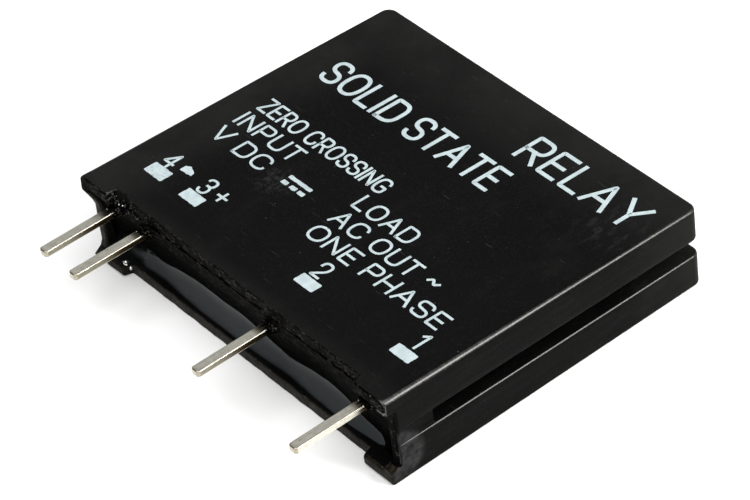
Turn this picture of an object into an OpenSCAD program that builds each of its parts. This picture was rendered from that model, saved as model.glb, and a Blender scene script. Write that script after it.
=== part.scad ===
// Miniature solid state relay for a printed circuit board, lying on its back.
// +Z leaves the printed front, +X is the reading direction and the pins point to -Y.
// The origin is the centre of the flat back. All sizes are in millimetres.

/* [Case] */
// Width across the pin row
body_w = 24.5; // [24:0.1:26]
// Height from the feet to the closed end
body_h = 20.5; // [20:0.1:22]
// Thickness at the pin side
body_t = 5.4; // [5.3:0.05:5.6]
// How much thinner the closed end is
face_draft = 0.55; // [0.4:0.05:0.6]
// How far each side leans in at the closed end
side_draft = 0.2; // [0.1:0.05:0.25]
// Wall thickness
wall = 0.65; // [0.5:0.05:0.65]
// Radius of the two upright corners at the closed end
corner_r = 0.6; // [0.4:0.1:1]

/* [Edge groove] */
// Width of the groove along the edges
groove_w = 0.95; // [0.7:0.05:1.0]
// Depth of the groove
groove_deep = 1.2; // [0.9:0.05:1.2]
// Depth of the shallow run next to the pins
groove_shallow = 0.2; // [0.1:0.05:0.3]
// Length of the shallow run from the feet
shallow_end = 3; // [2.5:0.1:3.5]

/* [Feet] */
// How far the corner feet stand past the rim
foot_stand = 0.55; // [0.4:0.05:0.7]
// Length of each foot along the long walls
foot_w = 2.3; // [1.8:0.1:2.4]
// Length of each foot along the short walls
foot_t = 0.9; // [0.7:0.05:1.2]

/* [Terminals] */
// Width of a pin
pin_w = 0.6; // [0.5:0.05:0.8]
// Thickness of the lead frame
pin_t = 0.36; // [0.3:0.02:0.4]
// Reach of the pins past the feet
pin_reach = 4.15; // [3:0.05:6]
// Height of the pins' middle above the back
pin_mid = 4.03; // [4.02:0.01:4.06]
// Distance from pin 1 to pin 2
pitch_12 = 7.62; // [7.5:0.02:7.7]
// Distance from pin 2 to pin 3
pitch_23 = 10.16; // [10.1:0.02:10.2]
// Distance from pin 3 to pin 4
pitch_34 = 2.54; // [2.5:0.02:2.6]

/* [Inside] */
// Depth of the potting resin below the feet
resin_depth = 1.2; // [0.8:0.05:1.3]
// Thickness of the circuit board
board_t = 0.8; // [0.6:0.05:0.8]
// Thickness of the copper on the board
copper_t = 0.05; // [0.03:0.01:0.07]

/* [Hidden] */
$fn = 48;

// Places along Y, and an allowance for cutting tools
foot_y = -body_h / 2;
end_y = body_h / 2;
rim_y = foot_y + foot_stand;
resin_y = foot_y + resin_depth;
over = 1;
deep_y = foot_y + shallow_end;
rib_t = 0.45;
groove_stop = 0.15;

// Pins, centred on the case
pin_row = pitch_12 + pitch_23 + pitch_34;
pin_shift = 0.15;
pin1_x = pin_row / 2 + pin_shift;
pin2_x = pin1_x - pitch_12;
pin3_x = pin2_x - pitch_23;
pin4_x = pin3_x - pitch_34;
pin_tip_y = foot_y - pin_reach;
tip_chamfer = 0.12;
frame_low = pin_mid - pin_t / 2;

// Board: its front carries the lead frame and its back the parts
board_high = frame_low;
board_low = board_high - board_t;
seat_z = board_low - copper_t;
board_left = -10.3;
board_right = 3;
board_near = -8.1;
board_far = 8.2;
via_d = 0.7;
via_y = -6.9;
via4_x = -9.6;
via3_x = -7.35;
via2_x = 2.3;
via_back = [-2.6, 3.4];
via_plate = [1.9, 5.5];
VIAS = [[via4_x, via_y], [via3_x, via_y], [via2_x, via_y], via_back, via_plate];

// Heat spreader on terminal 1, behind the printed front
plate_left = 4.1;
plate_right = 11.1;
plate_near = -6.9;
plate_far = 6;
lock_hole_d = 1.2;
LOCK_HOLES = [[7.6, -5.6], [7.6, 4.6]];

// Flats of the lead frame, each as [left, near, right, far]
PLATE_1 = [plate_left, plate_near, plate_right, plate_far];
ARM_1 = [1.3, 5, plate_left + over, plate_far];
PAD_2 = [1.5, -7.9, 3.1, -6];
STEM_2 = [1.5, -7, 2.7, 3.9];
ARM_2 = [-3.2, 2.9, 2.7, 3.9];
PAD_3 = [-8, -7.9, -6.7, -5.9];
PAD_4 = [-10.3, -7.9, -9, -5.9];
pin_root_y = -7;

// Triac, soldered by its tab to the back of the heat spreader
triac_x = [3.9, 9.4];
triac_y = -0.3;
triac_w = 6.6;
triac_t = 2.3;
tab_t = 0.5;
tab_w = 5.2;
tab_x = [4.5, 10.2];
lead_t = 0.5;
lead_w = 0.8;
lead_pitch = 2.28;
lead_inner = 5.2;
lead_reach = 1.6;
lead_stub = 3.2;
die_size = [2.4, 2.4, 0.25];
die_x = 7.4;
wire_d = 0.3;
wire_drop = 1;

// Opto coupler
coupler_at = [-3.4, -2];
coupler_size = [4.4, 3.6, 2];
coupler_gap = 0.1;
coupler_span = 7;
coupler_pitch = 2.54;
coupler_lead_w = 0.4;
coupler_lead_t = 0.2;
coupler_inner = 0.45;
coupler_knee = 0.25;
led_size = 0.35;
detector_size = [0.9, 0.9, 0.25];

// Chips: centre, length, width, height and turn
INPUT_R = [-8.8, -2, 3.2, 1.6, 0.55, 90];
TRIGGER_R = [-0.35, 3.9, 3.2, 1.6, 0.55, 90];
GATE_R = [2.15, -0.3, 2.6, 1.25, 0.5, 90];
SNUBBER_R = [-5, 3.4, 3.2, 1.6, 0.55, 0];
SNUBBER_C = [-5, 6.5, 4.5, 3.2, 1.9, 0];
cap_len = 0.5;
cap_t = 0.05;
film_t = 0.03;
film_edge = 0.1;
fillet = 0.3;

// Copper nets on the back of the board: each is a list of [left, near, right, far]
NETS = [
  [[-10.1, -7.4, -9.15, -3], [-10.1, -3.95, -8, -3.1]],
  [[-9.6, -1.05, -6, -0.05]],
  [[-7.7, -7.4, -6.95, -2.95], [-7.7, -3.6, -6, -2.95]],
  [[-0.8, -3.6, 0.95, -2.95], [0.5, -3.6, 0.95, 2.4], [0.5, 1.55, 2.95, 2.4], [1.5, 0.6, 2.8, 2.4]],
  [[1.5, -7.4, 2.95, -1.2]],
  [[-0.8, -1.05, 0.1, -0.4], [-0.75, -1.05, 0.05, 2.9]],
  [[-1.15, 4.95, 2.4, 6], [-3.3, 5.2, -0.4, 7.8]],
  [[-7.65, 5.2, -6.7, 7.8], [-7, 2.7, -6.2, 5.6]],
  [[-3.8, 2.7, -2.15, 4.1]]
];

case_black = [0.07, 0.07, 0.08];
resin_black = [0.03, 0.03, 0.04];
tinned = [0.78, 0.76, 0.7];
copper = [0.8, 0.48, 0.3];
board_green = [0.12, 0.35, 0.2];
ceramic_white = [0.9, 0.9, 0.86];
film_dark = [0.15, 0.15, 0.2];
silicon_grey = [0.45, 0.46, 0.5];
led_red = [0.7, 0.3, 0.3];
capacitor_tan = [0.72, 0.6, 0.42];
solder_grey = [0.7, 0.71, 0.72];

// Height of the drafted front face at a place along Y
function front_z(y) = body_t - face_draft * (y - foot_y) / body_h;
// Half width of the case at a place along Y
function side_x(y) = body_w / 2 - side_draft * (y - foot_y) / body_h;

// ---- Case ----

// Prism along Z with the outline seen from the front, set in by a distance
module plan(inset, low, high) {
  lean = atan(side_draft / body_h);
  r = max(corner_r - inset, 0.05);
  top_y = end_y - inset;
  arc_y = top_y - r;
  arc_x = side_x(arc_y) - inset - r / cos(lean);
  touch = [arc_x + r * cos(lean), arc_y + r * sin(lean)];
  low_y = foot_y - over;
  translate([0, 0, low])
    linear_extrude(high - low)
      union() {
        polygon([
          [-side_x(low_y) + inset, low_y], [side_x(low_y) - inset, low_y],
          touch, [arc_x, top_y], [-arc_x, top_y], [-touch[0], touch[1]]
        ]);
        for (s = [-1, 1])
          translate([s * arc_x, arc_y])
            circle(r);
      }
}

// Prism along X between two heights that follow the drafted front
module band(near_y, far_y, near_low, near_high, far_low, far_high) {
  translate([-body_w, 0, 0])
    rotate([90, 0, 90])
      linear_extrude(2 * body_w)
        polygon([[near_y, near_low], [far_y, far_low], [far_y, far_high], [near_y, near_high]]);
}

// Slab that follows the middle of the thickness
module middle_band(near_y, far_y, half) {
  band(near_y, far_y, front_z(near_y) / 2 - half, front_z(near_y) / 2 + half,
       front_z(far_y) / 2 - half, front_z(far_y) / 2 + half);
}

// Slab between the back and the front, set in by a distance
module thickness_band(near_y, far_y, inset) {
  band(near_y, far_y, inset, front_z(near_y) - inset, inset, front_z(far_y) - inset);
}

// Open edge between the four corner feet
module rim_cuts() {
  long_run = body_w - 2 * foot_w;
  translate([-long_run / 2, foot_y - over, -over])
    cube([long_run, over + foot_stand, body_t + 2 * over]);
  translate([-body_w, foot_y - over, foot_t])
    cube([2 * body_w, over + foot_stand, body_t - 2 * foot_t]);
}

module deep_groove() {
  difference() {
    middle_band(deep_y, end_y + over, groove_w / 2);
    plan(groove_deep, -over, body_t + over);
  }
}

module shallow_groove() {
  difference() {
    middle_band(rim_y + groove_stop, deep_y + groove_stop, groove_w / 2);
    plan(groove_shallow, -over, body_t + over);
  }
}

// Rib inside the case, which is the back of the groove
module groove_rib() {
  difference() {
    middle_band(deep_y - rib_t, end_y + over, groove_w / 2 + rib_t);
    plan(groove_deep + rib_t, -over, body_t + over);
  }
}

module cavity() {
  difference() {
    intersection() {
      plan(wall, -over, body_t + over);
      thickness_band(foot_y - over, end_y - wall, wall);
    }
    groove_rib();
  }
}

module case_shell() {
  color(case_black)
    difference() {
      intersection() {
        plan(0, -over, body_t + over);
        thickness_band(foot_y, end_y, 0);
      }
      cavity();
      deep_groove();
      shallow_groove();
      rim_cuts();
    }
}

// ---- Potting ----

module potting_resin() {
  color(resin_black)
    difference() {
      intersection() {
        cavity();
        translate([-body_w, resin_y, 0])
          cube([2 * body_w, body_h, body_t]);
      }
      terminals();
      board_parts();
      triac_parts();
      coupler_body_block();
      coupler_lead_set();
      chip_blocks();
      solder_set();
    }
}

module terminals() {
  load_terminal_1();
  load_terminal_2();
  input_terminal_3();
  input_terminal_4();
}

module board_parts() {
  translate([board_left, board_near, board_low])
    cube([board_right - board_left, board_far - board_near, board_t]);
  copper_tracks();
}

module triac_parts() {
  triac_body_block();
  triac_tab();
  triac_leads();
}

module chip_blocks() {
  for (chip = [INPUT_R, TRIGGER_R, GATE_R, SNUBBER_R, SNUBBER_C]) {
    chip_body(chip);
    chip_caps(chip);
  }
  for (chip = [INPUT_R, TRIGGER_R, GATE_R, SNUBBER_R])
    chip_film(chip);
}

// ---- Lead frame ----

// Flat piece of the lead frame
module frame_flat(edges) {
  translate([edges[0], edges[1], frame_low])
    cube([edges[2] - edges[0], edges[3] - edges[1], pin_t]);
}

// Pin with a chamfered tip, as far as the place where it widens
module pin(x, root_y) {
  translate([x, 0, frame_low])
    linear_extrude(pin_t)
      polygon([
        [-pin_w / 2, root_y], [-pin_w / 2, pin_tip_y + tip_chamfer],
        [-pin_w / 2 + tip_chamfer, pin_tip_y], [pin_w / 2 - tip_chamfer, pin_tip_y],
        [pin_w / 2, pin_tip_y + tip_chamfer], [pin_w / 2, root_y]
      ]);
}

module load_terminal_1() {
  color(tinned)
    difference() {
      union() {
        pin(pin1_x, plate_near + over);
        frame_flat(PLATE_1);
        frame_flat(ARM_1);
      }
      for (hole = LOCK_HOLES)
        translate([hole[0], hole[1], 0])
          cylinder(d = lock_hole_d, h = body_t);
    }
}

module load_terminal_2() {
  color(tinned)
    union() {
      pin(pin2_x, pin_root_y);
      frame_flat(PAD_2);
      frame_flat(STEM_2);
      frame_flat(ARM_2);
    }
}

module input_terminal_3() {
  color(tinned)
    union() {
      pin(pin3_x, pin_root_y);
      frame_flat(PAD_3);
    }
}

module input_terminal_4() {
  color(tinned)
    union() {
      pin(pin4_x, pin_root_y);
      frame_flat(PAD_4);
    }
}

// ---- Board ----

module via_set(d) {
  for (v = VIAS)
    translate([v[0], v[1], board_low])
      cylinder(d = d, h = board_t);
}

module circuit_board() {
  color(board_green)
    difference() {
      translate([board_left, board_near, board_low])
        cube([board_right - board_left, board_far - board_near, board_t]);
      via_set(via_d);
    }
}

module board_vias() {
  color(copper) via_set(via_d);
}

module copper_tracks() {
  color(copper)
    for (net = NETS)
      union() {
        for (t = net)
          translate([t[0], t[1], seat_z])
            cube([t[2] - t[0], t[3] - t[1], copper_t]);
      }
}

// ---- Triac ----

module triac_body_block() {
  translate([triac_x[0], triac_y - triac_w / 2, frame_low - triac_t])
    cube([triac_x[1] - triac_x[0], triac_w, triac_t]);
}

module triac_body() {
  color(case_black)
    difference() {
      triac_body_block();
      triac_tab();
      triac_leads();
      triac_die();
      triac_bond_wires();
    }
}

module triac_tab() {
  color(tinned)
    translate([tab_x[0], triac_y - tab_w / 2, frame_low - tab_t])
      cube([tab_x[1] - tab_x[0], tab_w, tab_t]);
}

module triac_leads() {
  color(tinned)
    for (i = [-1, 0, 1]) {
      reach = i == 0 ? lead_stub : lead_reach;
      translate([reach, triac_y + i * lead_pitch - lead_w / 2, seat_z - lead_t])
        cube([lead_inner - reach, lead_w, lead_t]);
    }
}

module triac_die() {
  color(silicon_grey)
    translate([die_x - die_size[0] / 2, triac_y - die_size[1] / 2, frame_low - tab_t - die_size[2]])
      cube(die_size);
}

// Two square looped wires from the outer leads to the die
module triac_bond_wires() {
  die_z = frame_low - tab_t - die_size[2];
  loop_z = seat_z - wire_drop;
  color(solder_grey)
    for (i = [-1, 1]) {
      y = triac_y + i * (die_size[1] / 2 - wire_d);
      lead_y = triac_y + i * (lead_pitch - lead_w / 2 + wire_d / 2);
      union() {
        translate([die_x - wire_d / 2, y - wire_d / 2, loop_z])
          cube([wire_d, wire_d, die_z - loop_z]);
        translate([lead_inner - 2 * wire_d, min(y, lead_y) - wire_d / 2, loop_z])
          cube([wire_d, abs(lead_y - y) + wire_d, wire_d]);
        translate([lead_inner - 2 * wire_d, y - wire_d / 2, loop_z])
          cube([die_x - lead_inner + 2 * wire_d + wire_d / 2, wire_d, wire_d]);
        translate([lead_inner - 2 * wire_d, lead_y - wire_d / 2, loop_z])
          cube([wire_d, wire_d, seat_z - lead_t - loop_z]);
      }
    }
}

// ---- Coupler ----

module coupler_body_block() {
  translate([coupler_at[0] - coupler_size[0] / 2, coupler_at[1] - coupler_size[1] / 2,
             seat_z - coupler_gap - coupler_size[2]])
    cube(coupler_size);
}

module coupler_body() {
  color(ceramic_white)
    difference() {
      coupler_body_block();
      coupler_lead_set();
      coupler_led_die();
      coupler_detector_die();
    }
}

// One gull-wing lead, drawn for the right-hand side
module coupler_lead() {
  t = coupler_lead_t;
  mid = coupler_gap + coupler_size[2] / 2;
  knee = coupler_size[0] / 2 + coupler_knee;
  span = coupler_span / 2;
  rotate([90, 0, 0])
    linear_extrude(coupler_lead_w, center = true)
      polygon([
        [coupler_inner, -mid - t], [knee + t, -mid - t], [knee + t, -t], [span, -t],
        [span, 0], [knee, 0], [knee, -mid], [coupler_inner, -mid]
      ]);
}

module coupler_lead_set() {
  for (side = [0, 180], row = [-1, 1])
    translate([coupler_at[0], coupler_at[1] + row * coupler_pitch / 2, seat_z])
      rotate([0, 0, side])
        coupler_lead();
}

module coupler_leads() {
  color(tinned) coupler_lead_set();
}

// Height of the lower face of the leads inside the coupler
function coupler_pad_z() = seat_z - coupler_gap - coupler_size[2] / 2 - coupler_lead_t;

module coupler_led_die() {
  color(led_red)
    translate([coupler_at[0] - coupler_inner - led_size - coupler_lead_w / 2,
               coupler_at[1] - coupler_pitch / 2 - led_size / 2, coupler_pad_z() - led_size])
      cube(led_size);
}

module coupler_detector_die() {
  color(silicon_grey)
    translate([coupler_at[0] + coupler_inner + coupler_lead_w / 2,
               coupler_at[1] - coupler_pitch / 2 - detector_size[1] / 2,
               coupler_pad_z() - detector_size[2]])
      cube(detector_size);
}

// ---- Chip resistors and capacitor ----

module place_chip(chip) {
  translate([chip[0], chip[1], seat_z - chip[4] / 2])
    rotate([0, 0, chip[5]])
      children();
}

module chip_body(chip) {
  place_chip(chip)
    cube([chip[2] - 2 * cap_t, chip[3], chip[4] - 2 * cap_t], center = true);
}

module chip_film(chip) {
  place_chip(chip)
    translate([0, 0, -chip[4] / 2 + cap_t - film_t / 2])
      cube([chip[2] - 2 * cap_len - 2 * film_edge, chip[3] - 2 * film_edge, film_t], center = true);
}

module chip_caps(chip) {
  half = chip[4] / 2;
  place_chip(chip)
    for (side = [0, 180])
      rotate([0, 0, side])
        translate([chip[2] / 2, 0, 0])
          rotate([90, 0, 0])
            linear_extrude(chip[3], center = true)
              polygon([
                [-cap_len, -half], [0, -half], [0, half], [-cap_len, half],
                [-cap_len, half - cap_t], [-cap_t, half - cap_t],
                [-cap_t, cap_t - half], [-cap_len, cap_t - half]
              ]);
}

module input_resistor_body() { color(ceramic_white) chip_body(INPUT_R); }
module input_resistor_film() { color(film_dark) chip_film(INPUT_R); }
module input_resistor_caps() { color(tinned) chip_caps(INPUT_R); }
module trigger_resistor_body() { color(ceramic_white) chip_body(TRIGGER_R); }
module trigger_resistor_film() { color(film_dark) chip_film(TRIGGER_R); }
module trigger_resistor_caps() { color(tinned) chip_caps(TRIGGER_R); }
module gate_resistor_body() { color(ceramic_white) chip_body(GATE_R); }
module gate_resistor_film() { color(film_dark) chip_film(GATE_R); }
module gate_resistor_caps() { color(tinned) chip_caps(GATE_R); }
module snubber_resistor_body() { color(ceramic_white) chip_body(SNUBBER_R); }
module snubber_resistor_film() { color(film_dark) chip_film(SNUBBER_R); }
module snubber_resistor_caps() { color(tinned) chip_caps(SNUBBER_R); }
module snubber_capacitor_body() { color(capacitor_tan) chip_body(SNUBBER_C); }
module snubber_capacitor_caps() { color(tinned) chip_caps(SNUBBER_C); }

// ---- Solder ----

// Wedge of solder on the copper, rising against an end that faces +X
module solder_wedge(width) {
  rotate([90, 0, 0])
    linear_extrude(width, center = true)
      polygon([[0, 0], [fillet, 0], [0, -fillet]]);
}

module solder_set() {
  for (chip = [INPUT_R, TRIGGER_R, GATE_R, SNUBBER_R, SNUBBER_C])
    translate([chip[0], chip[1], seat_z])
      for (side = [0, 180])
        rotate([0, 0, chip[5] + side])
          translate([chip[2] / 2, 0, 0])
            solder_wedge(chip[3] - 2 * film_edge);
  for (i = [-1, 1])
    translate([lead_reach, triac_y + i * lead_pitch, seat_z])
      mirror([1, 0, 0])
        solder_wedge(lead_w - film_edge);
}

module solder_joints() {
  color(solder_grey) solder_set();
}

case_shell();
potting_resin();
load_terminal_1();
load_terminal_2();
input_terminal_3();
input_terminal_4();
circuit_board();
copper_tracks();
board_vias();
triac_body();
triac_tab();
triac_leads();
triac_die();
triac_bond_wires();
coupler_body();
coupler_leads();
coupler_led_die();
coupler_detector_die();
input_resistor_body();
input_resistor_film();
input_resistor_caps();
trigger_resistor_body();
trigger_resistor_film();
trigger_resistor_caps();
gate_resistor_body();
gate_resistor_film();
gate_resistor_caps();
snubber_resistor_body();
snubber_resistor_film();
snubber_resistor_caps();
snubber_capacitor_body();
snubber_capacitor_caps();
solder_joints();
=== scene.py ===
import math
import random

import bmesh
import bpy
from mathutils import Matrix, Vector, noise


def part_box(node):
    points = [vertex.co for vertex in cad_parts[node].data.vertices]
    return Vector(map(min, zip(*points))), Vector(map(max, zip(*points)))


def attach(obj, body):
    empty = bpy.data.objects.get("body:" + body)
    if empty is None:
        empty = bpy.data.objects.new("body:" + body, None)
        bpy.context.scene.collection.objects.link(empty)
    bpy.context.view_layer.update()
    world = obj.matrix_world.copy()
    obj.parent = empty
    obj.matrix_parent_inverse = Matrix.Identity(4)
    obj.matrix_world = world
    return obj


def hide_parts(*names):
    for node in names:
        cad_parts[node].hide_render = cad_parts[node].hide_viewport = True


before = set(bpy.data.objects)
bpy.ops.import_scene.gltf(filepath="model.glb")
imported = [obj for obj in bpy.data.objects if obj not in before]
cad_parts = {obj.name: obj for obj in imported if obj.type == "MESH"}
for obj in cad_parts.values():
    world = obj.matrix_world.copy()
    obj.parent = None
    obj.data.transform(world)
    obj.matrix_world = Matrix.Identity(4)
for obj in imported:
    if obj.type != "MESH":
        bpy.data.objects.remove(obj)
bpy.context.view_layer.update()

# Shape functions work in millimetres; meshes are stored in metres.
MM = 0.001

# ---- Sizes taken from the frame ----
case_low, case_high = (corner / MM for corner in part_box("case_shell"))
resin_low, resin_high = (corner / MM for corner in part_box("potting_resin"))
PIN_NODES = ("input_terminal_4", "input_terminal_3", "load_terminal_2", "load_terminal_1")
HALF_W = case_high.x
FOOT_Y = case_low.y
END_Y = case_high.y
DEPTH_Y = END_Y - FOOT_Y
THICK = case_high.z
RESIN_Y = resin_low.y
WALL = HALF_W - resin_high.x
TIP_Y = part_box(PIN_NODES[0])[0].y / MM

# ---- Details that the frame's boxes don't give ----
# Draft and corners of the case
FACE_DRAFT = 0.55
SIDE_DRAFT = 0.2
CORNER_R = 0.6
FACE_INSET = 0.8
# Groove along the sides and the closed end, and the rib behind it
GROOVE_HALF = 0.475
GROOVE_DEEP = 1.2
GROOVE_SHALLOW = 0.2
GROOVE_FLOOR_R = 0.05
FLUSH = 0.003
DEEP_Y = FOOT_Y + 3.0
SHALLOW_Y = FOOT_Y + 0.72
RIB_T = 0.45
# Recessed rim of the mouth and the corner feet
RIM_Y = FOOT_Y + 0.55
COLLAR_Y = RIM_Y + 0.1
FOOT_W = 2.3
LONG_FOOT_W = 2.65
FOOT_T = 0.9
THIN_FOOT_T = 0.36
FOOT_EASE = 0.09
WEB_END = 2.1
# Broken place in the front rim, and the pale chips beside it, partly painted highlights
NOTCH_X = -9.35
NOTCH_W = 0.4
NOTCH_DEEP = 0.24
CHIP_AND_HIGHLIGHT_X = -9.95
# Rounded edges
FRONT_EDGE_IN = 0.42
FRONT_EDGE_DOWN = 0.27
FAR_EDGE_SHARE = 0.55
BACK_EDGE_R = 0.12
LIP_R = 0.12
RIM_FILLET = 0.06
SIDE_RIM_FILLET = 0.2
FOOT_FILLET = 0.16
PIN_EDGE_R = 0.058
# Climb of the resin: how it bends and leans to the front rim, and its slope to the back
BEND_W = 0.25
LEAN = 0.1
LEAN_W = 2.0
BACK_CLIMB = 0.38
BACK_CLIMB_W = 0.7
SKIN_T = 0.1

INK_T = 0.014


def front_z(y):
    """Height of the drafted front face."""
    return THICK - FACE_DRAFT * (y - FOOT_Y) / DEPTH_Y


def side_x(y):
    """Half width of the case."""
    return HALF_W - SIDE_DRAFT * (y - FOOT_Y) / DEPTH_Y


def clamp(value, low, high):
    return max(low, min(high, value))


def smooth_step(value, start, end):
    t = clamp((value - start) / (end - start), 0.0, 1.0)
    return t * t * (3.0 - 2.0 * t)


def blend(a, b, t):
    return a + (b - a) * t


def steps(start, end, pitch):
    """Evenly spaced values from start to end, no further apart than pitch."""
    count = max(1, math.ceil(abs(end - start) / pitch))
    return [blend(start, end, i / count) for i in range(count + 1)]


def grain(x, y, z, size):
    """Repeatable noise from -1 to 1 with features of about that size."""
    return noise.noise(Vector((x, y, z)) / size)


# ---- Mesh helpers ----


def add_object(name, mesh):
    piece = bpy.data.objects.new(name, mesh)
    bpy.context.scene.collection.objects.link(piece)
    return piece


def add_piece(name, mesh):
    """Adds a mesh as a piece of the object."""
    piece = add_object(name, mesh)
    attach(piece, "root")
    return piece


def dress(mesh, materials, finish, sharp_degrees):
    """Smooth shading and materials; finish gives the number of the one for each face."""
    mesh.polygons.foreach_set("use_smooth", [True] * len(mesh.polygons))
    mesh.set_sharp_from_angle(angle=math.radians(sharp_degrees))
    for material in materials:
        mesh.materials.append(material)
    if finish:
        for polygon in mesh.polygons:
            polygon.material_index = finish(polygon.center / MM, polygon.normal)


def mesh_piece(
    name, points, faces, materials, finish=None, weld=0.0004, sharp_degrees=40,
):
    """Closed piece of the object from points in millimetres."""
    mesh = bpy.data.meshes.new(name)
    mesh.from_pydata([Vector(p) * MM for p in points], [], faces)
    work = bmesh.new()
    work.from_mesh(mesh)
    bmesh.ops.remove_doubles(work, verts=work.verts, dist=weld * MM)
    bmesh.ops.dissolve_degenerate(work, edges=work.edges, dist=weld * MM * 0.1)
    bmesh.ops.recalc_face_normals(work, faces=work.faces)
    work.to_mesh(mesh)
    work.free()
    dress(mesh, materials, finish, sharp_degrees)
    return add_piece(name, mesh)


def keep_flats_flat(piece):
    """Shading that leaves large flat faces flat beside small rounded edges."""
    piece.modifiers.new("flat_faces", "WEIGHTED_NORMAL").keep_sharp = True


def add_row(points, row):
    """Adds points to a list and gives their numbers."""
    points += row
    return list(range(len(points) - len(row), len(points)))


def join(points, faces, part):
    """Adds the points and faces of a part to those of a mesh."""
    more, sides = part
    faces += [tuple(i + len(points) for i in side) for side in sides]
    points += more


def strip_faces(rows, closed=False):
    """Quads between rows of point numbers."""
    faces = []
    for low, high in zip(rows, rows[1:]):
        count = len(low) if closed else len(low) - 1
        for i in range(count):
            j = (i + 1) % len(low)
            faces.append((low[i], low[j], high[j], high[i]))
    return faces


def pin_finish(_, normal):
    """Number of the material for the flats, the rounded edges or the sides of a pin."""
    if max(abs(part) for part in normal) < 0.99:
        return 1
    return 2 if abs(normal.x) > 0.9 else 0


def rounded_pin(node, flats, edges, sides):
    """Copy of a CAD pin with the edges outside the resin rounded, which stands for it."""
    work = bmesh.new()
    work.from_mesh(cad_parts[node].data)
    bmesh.ops.remove_doubles(work, verts=work.verts, dist=0.0005 * MM)
    flat = math.radians(0.5)
    bmesh.ops.dissolve_limit(work, angle_limit=flat, verts=work.verts, edges=work.edges)
    cut_y = (RESIN_Y + SKIN_T) * MM
    whole_mesh = work.verts[:] + work.edges[:] + work.faces[:]
    bmesh.ops.bisect_plane(work, geom=whole_mesh, plane_co=(0, cut_y, 0), plane_no=(0, 1, 0))
    sharp = [
        e for e in work.edges
        if e.is_manifold and e.calc_face_angle() > math.radians(25)
        and max(v.co.y for v in e.verts) < cut_y + 0.001 * MM
    ]
    bmesh.ops.bevel(
        work, geom=sharp, offset=PIN_EDGE_R * MM, segments=4, profile=0.5,
        affect="EDGES", clamp_overlap=True,
    )
    name = node + "_rounded"
    mesh = bpy.data.meshes.new(name)
    work.to_mesh(mesh)
    work.free()
    dress(mesh, (flats, edges, sides), pin_finish, 50)
    piece = add_piece(name, mesh)
    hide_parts(node)
    keep_flats_flat(piece)


# ---- Material helpers ----


class Shader:
    """Short calls for building one node material in object space."""

    def __init__(self, name):
        self.material = bpy.data.materials.new(name)
        self.material.use_nodes = True
        self.tree = self.material.node_tree
        self.surface = self.tree.nodes["Principled BSDF"]
        self.place = self.node("TexCoord", {})["Object"]

    def node(self, kind, inputs, **settings):
        """Adds a node, feeds its inputs by name or number, and gives its outputs."""
        made = self.tree.nodes.new("ShaderNode" + kind)
        for key, value in settings.items():
            setattr(made, key, value)
        for key, value in inputs.items():
            self.feed(made.inputs[key], value)
        return made.outputs

    def feed(self, socket, value):
        if isinstance(value, bpy.types.NodeSocket):
            self.tree.links.new(value, socket)
        elif value is not None:
            socket.default_value = value

    def look(self, **values):
        """Feeds the surface and gives the material."""
        for key, value in values.items():
            self.feed(self.surface.inputs[key.replace("_", " ")], value)
        return self.material

    def clouded(self, color, cloud, low, high, **values):
        """Look whose roughness follows a cloud between two limits."""
        rough = self.ramp(cloud, 0.3, 0.7, low, high)
        return self.look(Base_Color=color, Roughness=rough, **values)

    def math(self, operation, a, b=None):
        return self.node("Math", {0: a, 1: b}, operation=operation)[0]

    def plus(self, a, b):
        return self.math("ADD", a, b)

    def times(self, a, b):
        return self.math("MULTIPLY", a, b)

    def larger(self, a, b):
        return self.math("MAXIMUM", a, b)

    def noise(self, size_mm, detail=3.0, rough=0.6, stretch=(1.0, 1.0, 1.0)):
        """Noise with features of about that size, longer along the stretched axes."""
        scale = tuple(1.0 / (size_mm * MM * s) for s in stretch)
        place = self.node("VectorMath", {0: self.place, 1: scale}, operation="MULTIPLY")[0]
        inputs = {"Vector": place, "Scale": 1.0, "Detail": detail, "Roughness": rough}
        return self.node("TexNoise", inputs)["Fac"]

    def cells(self, size_mm):
        """Distance to the nearest point of a random scatter, in cells."""
        inputs = {"Vector": self.place, "Scale": 1.0 / (size_mm * MM)}
        return self.node("TexVoronoi", inputs, feature="F1")["Distance"]

    def ramp(self, value, low, high, out_low=0.0, out_high=1.0):
        """Smooth step of a value between two limits."""
        inputs = dict(enumerate((value, low, high, out_low, out_high)))
        return self.node("MapRange", inputs, interpolation_type="SMOOTHSTEP")["Result"]

    def mix(self, share, a, b):
        """Blend of two colours, each a socket or three numbers."""
        a, b = ((*color, 1.0) if isinstance(color, tuple) else color for color in (a, b))
        return self.node("Mix", {"Factor": share, 6: a, 7: b}, data_type="RGBA")[2]

    def over(self, color, share, amount, tint):
        """A colour with a tint laid over it, where the share says and by that amount."""
        return self.mix(self.times(share, amount), color, tint)

    def axis(self, name):
        """One coordinate in metres."""
        return self.node("SeparateXYZ", {0: self.place})[name]

    def along(self, name, start, end, out_start=0.0, out_end=1.0):
        """Smooth step along one axis between two places in millimetres."""
        return self.ramp(self.axis(name), start * MM, end * MM, out_start, out_end)

    def span(self, a, b):
        """Length of the diagonal of two distances."""
        return self.math("SQRT", self.plus(self.times(a, a), self.times(b, b)))

    def near(self, x, y, radius_mm, soft=0.5):
        """One near a place on the front, falling to nothing at the radius."""
        across = self.math("SUBTRACT", self.axis("X"), x * MM)
        up = self.math("SUBTRACT", self.axis("Y"), y * MM)
        return self.ramp(self.span(across, up), radius_mm * MM, radius_mm * MM * soft)

    def bump(self, height, depth_mm, strength=1.0, under=None):
        inputs = {"Height": height, "Distance": depth_mm * MM, "Strength": strength, "Normal": under}
        return self.node("Bump", inputs)["Normal"]


# ---- Materials ----


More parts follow.
